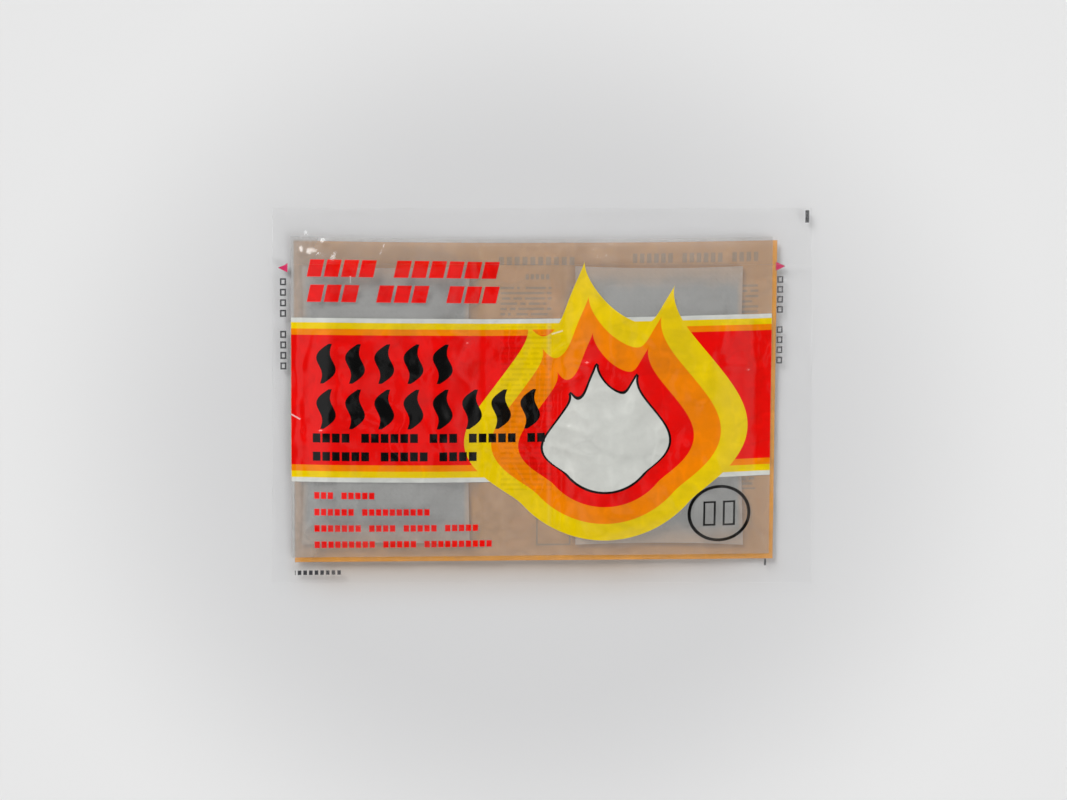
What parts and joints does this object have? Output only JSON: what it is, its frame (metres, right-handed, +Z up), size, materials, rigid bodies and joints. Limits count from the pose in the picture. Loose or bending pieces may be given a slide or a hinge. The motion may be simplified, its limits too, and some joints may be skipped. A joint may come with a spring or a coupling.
{
  "type": "twin-pack hand warmer",
  "caption": "Sealed clear film packet with a tear-off top strip, holding a pair of flat powder-filled warmer pouches side by side.",
  "frame": {"origin": "centre of the packet's rectangle, on the surface that it lies on", "axes": "+X along the packet's long side, to the right as its printed front is read; +Y towards the tear-off strip; +Z up, out of the printed front"},
  "size_m": [0.18, 0.125, 0.0057],
  "materials": {
    "front_film": "gloss",
    "back_film": "gloss",
    "porous_sheet": "matte",
    "laminated_sheet": "matte",
    "powder": "matte"
  },
  "bodies": {
    "wrapper": {"wrapper_front_film": "front_film", "wrapper_back_film": "back_film"},
    "tear_strip": {"tear_strip_front_film": "front_film", "tear_strip_back_film": "back_film"},
    "left_pouch": {"left_pouch_front_sheet": "porous_sheet", "left_pouch_back_sheet": "laminated_sheet", "left_pouch_powder": "powder"},
    "right_pouch": {"right_pouch_front_sheet": "porous_sheet", "right_pouch_back_sheet": "laminated_sheet", "right_pouch_powder": "powder"}
  },
  "joints": [
    {"name": "left_pouch_slide", "type": "slide", "parent": "wrapper", "child": "left_pouch", "axis": [0, 1, 0], "range_m": [0, 0.1]},
    {"name": "right_pouch_slide", "type": "slide", "parent": "wrapper", "child": "right_pouch", "axis": [0, 1, 0], "range_m": [0, 0.1]},
    {"name": "tear_strip_pull", "type": "slide", "parent": "wrapper", "child": "tear_strip", "axis": [0, 1, 0], "range_m": [0, 0.13]}
  ],
  "couplings": [
    {"joint": "right_pouch_slide", "follows": "left_pouch_slide", "ratio": 1},
    {"joint": "tear_strip_pull", "follows": "left_pouch_slide", "ratio": 1.3}
  ]
}
